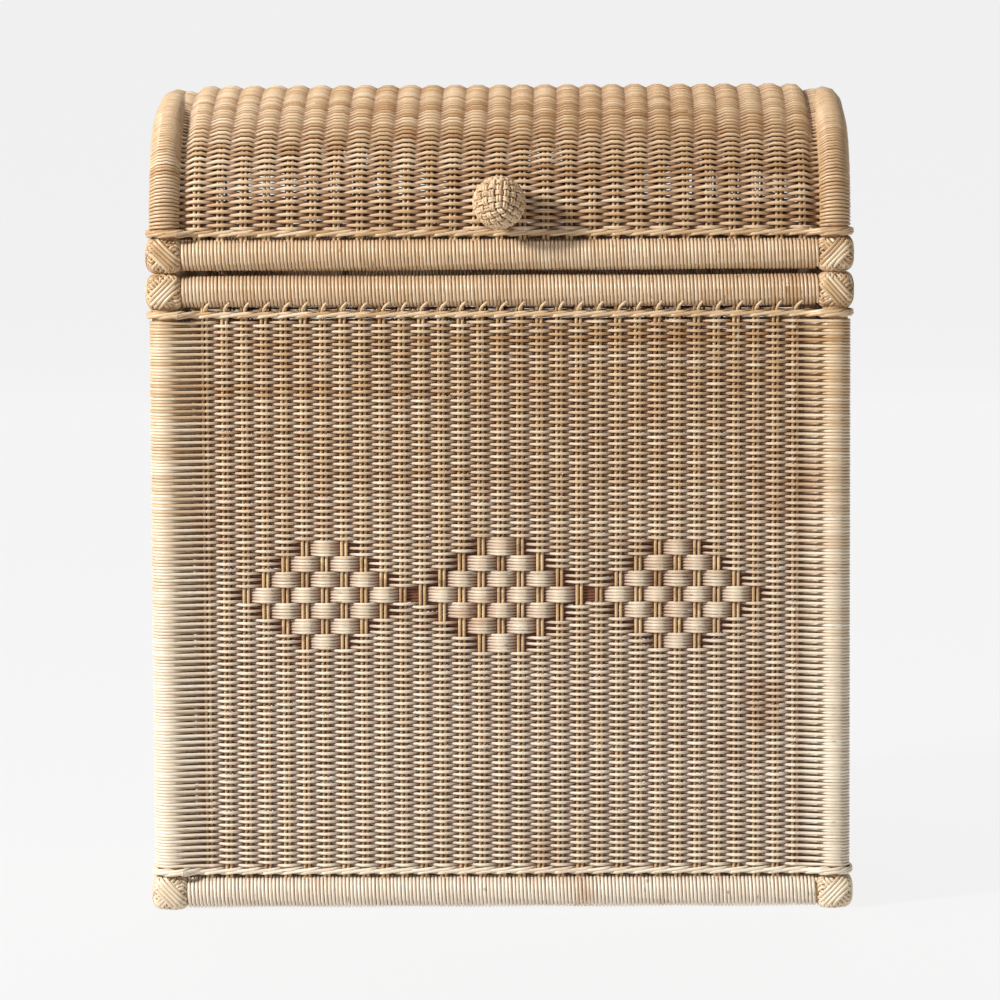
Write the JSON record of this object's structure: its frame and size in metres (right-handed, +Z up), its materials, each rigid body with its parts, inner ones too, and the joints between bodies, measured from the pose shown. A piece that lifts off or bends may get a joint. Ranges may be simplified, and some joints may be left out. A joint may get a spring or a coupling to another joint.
{
  "type": "wicker storage trunk",
  "caption": "Upright wicker storage trunk, woven on a lashed frame of wrapped rattan poles, with a domed lid that opens on lashings at the back and a woven ball knob.",
  "frame": {"origin": "on the floor, under the middle of the whole trunk with its knob and its hinge lashings", "axes": "+Z up; the front with the knob faces -Y; +X is to the right of someone who faces the front"},
  "size_m": [0.503, 0.3526, 0.5886],
  "materials": {
    "wrapping_reed": "natural, slightly glossy",
    "rattan_pole": "natural, hidden under its wrapping",
    "stake_reed": "natural, matte",
    "nail_steel": "plain",
    "binding_cane": "natural cane, slightly glossy",
    "weaving_reed": "natural, matte, uneven in tone"
  },
  "bodies": {
    "trunk": {"post_front_right": "rattan_pole", "post_back_right": "rattan_pole", "post_back_left": "rattan_pole", "post_front_left": "rattan_pole", "post_wrap_front_right": "wrapping_reed", "post_wrap_back_right": "wrapping_reed", "post_wrap_back_left": "wrapping_reed", "post_wrap_front_left": "wrapping_reed", "top_rail_front": "rattan_pole", "top_rail_right": "rattan_pole", "top_rail_back": "rattan_pole", "top_rail_left": "rattan_pole", "bottom_rail_front": "rattan_pole", "bottom_rail_right": "rattan_pole", "bottom_rail_back": "rattan_pole", "bottom_rail_left": "rattan_pole", "top_rail_wraps": "wrapping_reed", "bottom_rail_wraps": "wrapping_reed", "top_corner_lashings": "binding_cane", "bottom_corner_lashings": "binding_cane", "weave_front": "weaving_reed", "weave_right": "weaving_reed", "weave_back": "weaving_reed", "weave_left": "weaving_reed", "stakes_front": "stake_reed", "stakes_right": "stake_reed", "stakes_back": "stake_reed", "stakes_left": "stake_reed", "upper_band": "weaving_reed", "lower_band": "weaving_reed", "base_weave": "weaving_reed", "base_stakes": "stake_reed", "base_bearers": "rattan_pole", "trunk_nails": "nail_steel", "hinge_lashing_left": "binding_cane", "hinge_lashing_right": "binding_cane"},
    "lid": {"lid_rail_front": "rattan_pole", "lid_rail_right": "rattan_pole", "lid_rail_back": "rattan_pole", "lid_rail_left": "rattan_pole", "lid_rail_wraps": "wrapping_reed", "lid_arch_left": "rattan_pole", "lid_arch_right": "rattan_pole", "lid_arch_wrap_left": "wrapping_reed", "lid_arch_wrap_right": "wrapping_reed", "lid_corner_lashings": "binding_cane", "lid_top_weave": "weaving_reed", "lid_top_stakes": "stake_reed", "lid_end_weave_left": "weaving_reed", "lid_end_weave_right": "weaving_reed", "lid_end_stakes_left": "stake_reed", "lid_end_stakes_right": "stake_reed", "lid_band": "weaving_reed", "lid_nails": "nail_steel", "knob_core": "rattan_pole", "knob_cover": "binding_cane", "knob_tie": "binding_cane", "knob_toggle": "rattan_pole"}
  },
  "joints": [
    {"name": "lid_hinge", "type": "hinge", "parent": "trunk", "child": "lid", "pos_m": [0, 0.16224, 0.46925], "axis": [-1, 0, 0], "range_deg": [0, 100]}
  ]
}
